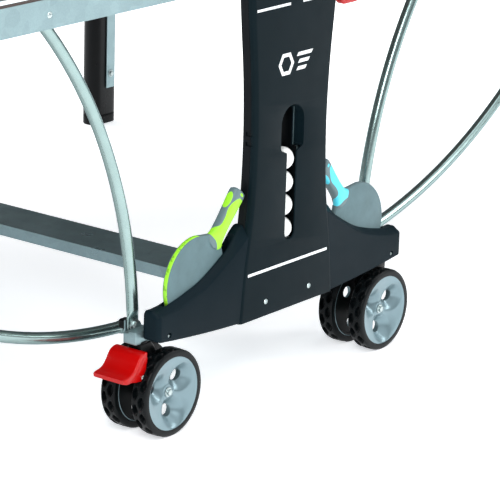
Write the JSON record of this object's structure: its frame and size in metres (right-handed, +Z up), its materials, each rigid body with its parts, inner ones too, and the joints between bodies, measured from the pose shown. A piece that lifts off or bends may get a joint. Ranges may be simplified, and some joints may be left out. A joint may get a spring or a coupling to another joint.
{
  "type": "folding table tennis table",
  "caption": "Full-size folding table tennis table: two halves on arc tubes and legs, black centre pedestals on double castors with bat pockets and a ball store, and a net on posts.",
  "frame": {"origin": "on the floor, under the middle of the net", "axes": "+X along the table's length, +Y across it away from the pedestal with the bats, +Z up"},
  "size_m": [2.74, 1.8806, 0.917],
  "materials": {
    "galvanised": "galvanised steel, satin",
    "black_plastic": "moulded black plastic, fine grain",
    "black_panel": "moulded black plastic, satin",
    "black_housing": "black plastic",
    "black_leg": "black paint, satin",
    "black_post": "black plastic",
    "playing_surface": "dark slate weatherproof laminate",
    "wheel": "black rubber tread on a silver disc",
    "red_plastic": "red plastic",
    "net_cloth": "open mesh with a white tape",
    "bat_lime": "rubber with a lime edge",
    "bat_cyan": "rubber with a light blue edge",
    "ball_white": "white celluloid"
  },
  "bodies": {
    "base": {"base_bar_near": "galvanised", "base_bar_far": "galvanised", "cross_beam": "galvanised", "pedestal_shell_near": "black_plastic", "pedestal_shell_far": "black_plastic", "pedestal_panel_near": "black_panel", "pedestal_panel_far": "black_panel", "column_frame_near": "galvanised", "column_frame_far": "galvanised", "net": "net_cloth", "net_post_near": "black_post", "net_post_far": "black_post"},
    "left_carriages": {"carriage_near_left": "black_housing", "carriage_far_left": "black_housing"},
    "left_half": {"table_top_left": "playing_surface", "top_frame_left": "galvanised"},
    "left_legs": {"leg_frame_left": "galvanised", "leg_near_left": "black_leg", "leg_far_left": "black_leg"},
    "left_upper_arcs": {"upper_arc_near_left": "galvanised", "upper_arc_far_left": "galvanised"},
    "left_lower_arcs": {"lower_arc_near_left": "galvanised", "lower_arc_far_left": "galvanised"},
    "right_carriages": {"carriage_near_right": "black_housing", "carriage_far_right": "black_housing"},
    "right_half": {"table_top_right": "playing_surface", "top_frame_right": "galvanised"},
    "right_legs": {"leg_frame_right": "galvanised", "leg_near_right": "black_leg", "leg_far_right": "black_leg"},
    "right_upper_arcs": {"upper_arc_near_right": "galvanised", "upper_arc_far_right": "galvanised"},
    "right_lower_arcs": {"lower_arc_near_right": "galvanised", "lower_arc_far_right": "galvanised"},
    "caster_near_left": {"caster_near_left": "black_housing"},
    "wheel_near_left_outer": {"wheel_near_left_outer": "wheel"},
    "wheel_near_left_inner": {"wheel_near_left_inner": "wheel"},
    "caster_near_right": {"caster_near_right": "black_housing"},
    "wheel_near_right_outer": {"wheel_near_right_outer": "wheel"},
    "wheel_near_right_inner": {"wheel_near_right_inner": "wheel"},
    "caster_far_left": {"caster_far_left": "black_housing"},
    "wheel_far_left_outer": {"wheel_far_left_outer": "wheel"},
    "wheel_far_left_inner": {"wheel_far_left_inner": "wheel"},
    "caster_far_right": {"caster_far_right": "black_housing"},
    "wheel_far_right_outer": {"wheel_far_right_outer": "wheel"},
    "wheel_far_right_inner": {"wheel_far_right_inner": "wheel"},
    "pedal_near_left": {"brake_pedal_near_left": "red_plastic"},
    "pedal_far_right": {"brake_pedal_far_right": "red_plastic"},
    "release_near_right": {"release_handle_near_right": "red_plastic"},
    "release_far_left": {"release_handle_far_left": "red_plastic"},
    "knob_near": {"tension_knob_near": "black_post"},
    "knob_far": {"tension_knob_far": "black_post"},
    "left_bat": {"bat_left": "bat_lime"},
    "right_bat": {"bat_right": "bat_cyan"},
    "balls": {"ball_1": "ball_white", "ball_2": "ball_white", "ball_3": "ball_white", "ball_4": "ball_white"}
  },
  "joints": [
    {"name": "left_carriage_slide", "type": "slide", "parent": "base", "child": "left_carriages", "axis": [0, 0, -1], "range_m": [0, 0.443]},
    {"name": "left_half_fold", "type": "hinge", "parent": "left_carriages", "child": "left_half", "pos_m": [-0.1, 0, 0.735], "axis": [0, 1, 0], "range_deg": [0, 90]},
    {"name": "left_leg_fold", "type": "hinge", "parent": "left_half", "child": "left_legs", "pos_m": [-1.01, 0, 0.694], "axis": [0, -1, 0], "range_deg": [0, 90]},
    {"name": "left_upper_arc_pivot", "type": "hinge", "parent": "left_half", "child": "left_upper_arcs", "pos_m": [-0.558, 0, 0.73], "axis": [0, -1, 0], "range_deg": [0, 45.7]},
    {"name": "left_lower_arc_pivot", "type": "hinge", "parent": "left_legs", "child": "left_lower_arcs", "pos_m": [-1.095, 0, 0.581], "axis": [0, 1, 0], "range_deg": [0, 65.2]},
    {"name": "right_carriage_slide", "type": "slide", "parent": "base", "child": "right_carriages", "axis": [0, 0, -1], "range_m": [0, 0.443]},
    {"name": "right_half_fold", "type": "hinge", "parent": "right_carriages", "child": "right_half", "pos_m": [0.1, 0, 0.735], "axis": [0, -1, 0], "range_deg": [0, 90]},
    {"name": "right_leg_fold", "type": "hinge", "parent": "right_half", "child": "right_legs", "pos_m": [1.01, 0, 0.694], "axis": [0, 1, 0], "range_deg": [0, 90]},
    {"name": "right_upper_arc_pivot", "type": "hinge", "parent": "right_half", "child": "right_upper_arcs", "pos_m": [0.558, 0, 0.73], "axis": [0, 1, 0], "range_deg": [0, 45.7]},
    {"name": "right_lower_arc_pivot", "type": "hinge", "parent": "right_legs", "child": "right_lower_arcs", "pos_m": [1.095, 0, 0.581], "axis": [0, -1, 0], "range_deg": [0, 65.2]},
    {"name": "swivel_near_left", "type": "hinge", "parent": "base", "child": "caster_near_left", "pos_m": [-0.332, -0.7557, 0.16], "axis": [0, 0, 1], "continuous": true},
    {"name": "roll_near_left_outer", "type": "hinge", "parent": "caster_near_left", "child": "wheel_near_left_outer", "pos_m": [-0.296, -0.7557, 0.0735], "axis": [0, 1, 0], "continuous": true},
    {"name": "roll_near_left_inner", "type": "hinge", "parent": "caster_near_left", "child": "wheel_near_left_inner", "pos_m": [-0.296, -0.7557, 0.0735], "axis": [0, 1, 0], "continuous": true},
    {"name": "swivel_near_right", "type": "hinge", "parent": "base", "child": "caster_near_right", "pos_m": [0.332, -0.7557, 0.16], "axis": [0, 0, 1], "continuous": true},
    {"name": "roll_near_right_outer", "type": "hinge", "parent": "caster_near_right", "child": "wheel_near_right_outer", "pos_m": [0.296, -0.7557, 0.0735], "axis": [0, 1, 0], "continuous": true},
    {"name": "roll_near_right_inner", "type": "hinge", "parent": "caster_near_right", "child": "wheel_near_right_inner", "pos_m": [0.296, -0.7557, 0.0735], "axis": [0, 1, 0], "continuous": true},
    {"name": "swivel_far_left", "type": "hinge", "parent": "base", "child": "caster_far_left", "pos_m": [-0.332, 0.7557, 0.16], "axis": [0, 0, 1], "continuous": true},
    {"name": "roll_far_left_outer", "type": "hinge", "parent": "caster_far_left", "child": "wheel_far_left_outer", "pos_m": [-0.296, 0.7557, 0.0735], "axis": [0, 1, 0], "continuous": true},
    {"name": "roll_far_left_inner", "type": "hinge", "parent": "caster_far_left", "child": "wheel_far_left_inner", "pos_m": [-0.296, 0.7557, 0.0735], "axis": [0, 1, 0], "continuous": true},
    {"name": "swivel_far_right", "type": "hinge", "parent": "base", "child": "caster_far_right", "pos_m": [0.332, 0.7557, 0.16], "axis": [0, 0, 1], "continuous": true},
    {"name": "roll_far_right_outer", "type": "hinge", "parent": "caster_far_right", "child": "wheel_far_right_outer", "pos_m": [0.296, 0.7557, 0.0735], "axis": [0, 1, 0], "continuous": true},
    {"name": "roll_far_right_inner", "type": "hinge", "parent": "caster_far_right", "child": "wheel_far_right_inner", "pos_m": [0.296, 0.7557, 0.0735], "axis": [0, 1, 0], "continuous": true},
    {"name": "brake_near_left", "type": "hinge", "parent": "caster_near_left", "child": "pedal_near_left", "pos_m": [-0.349, -0.7557, 0.113], "axis": [0, -1, 0], "range_deg": [0, 8]},
    {"name": "brake_far_right", "type": "hinge", "parent": "caster_far_right", "child": "pedal_far_right", "pos_m": [0.349, 0.7557, 0.113], "axis": [0, 1, 0], "range_deg": [0, 8]},
    {"name": "release_near_right", "type": "hinge", "parent": "right_half", "child": "release_near_right", "pos_m": [0.216, -0.753, 0.698], "axis": [-1, 0, 0], "range_deg": [0, 30]},
    {"name": "release_far_left", "type": "hinge", "parent": "left_half", "child": "release_far_left", "pos_m": [-0.216, 0.753, 0.698], "axis": [1, 0, 0], "range_deg": [0, 30]},
    {"name": "tension_near", "type": "hinge", "parent": "base", "child": "knob_near", "pos_m": [0, -0.933, 0.884], "axis": [0, 1, 0], "continuous": true},
    {"name": "tension_far", "type": "hinge", "parent": "base", "child": "knob_far", "pos_m": [0, 0.933, 0.884], "axis": [0, 1, 0], "continuous": true},
    {"name": "left_bat_pull", "type": "slide", "parent": "base", "child": "left_bat", "axis": [-0.28, 0, 0.96], "range_m": [0, 0.2]},
    {"name": "right_bat_pull", "type": "slide", "parent": "base", "child": "right_bat", "axis": [0.28, 0, 0.96], "range_m": [0, 0.2]},
    {"name": "ball_lift", "type": "slide", "parent": "base", "child": "balls", "axis": [0, 0, 1], "range_m": [0, 0.05]}
  ],
  "couplings": [
    {"joint": "left_carriage_slide", "follows": "left_half_fold", "m_per_rad": 0.282},
    {"joint": "left_leg_fold", "follows": "left_half_fold", "ratio": 1},
    {"joint": "left_upper_arc_pivot", "follows": "left_half_fold", "ratio": 0.5067},
    {"joint": "left_lower_arc_pivot", "follows": "left_half_fold", "ratio": 0.7233},
    {"joint": "right_carriage_slide", "follows": "right_half_fold", "m_per_rad": 0.282},
    {"joint": "right_leg_fold", "follows": "right_half_fold", "ratio": 1},
    {"joint": "right_upper_arc_pivot", "follows": "right_half_fold", "ratio": 0.5067},
    {"joint": "right_lower_arc_pivot", "follows": "right_half_fold", "ratio": 0.7233}
  ]
}
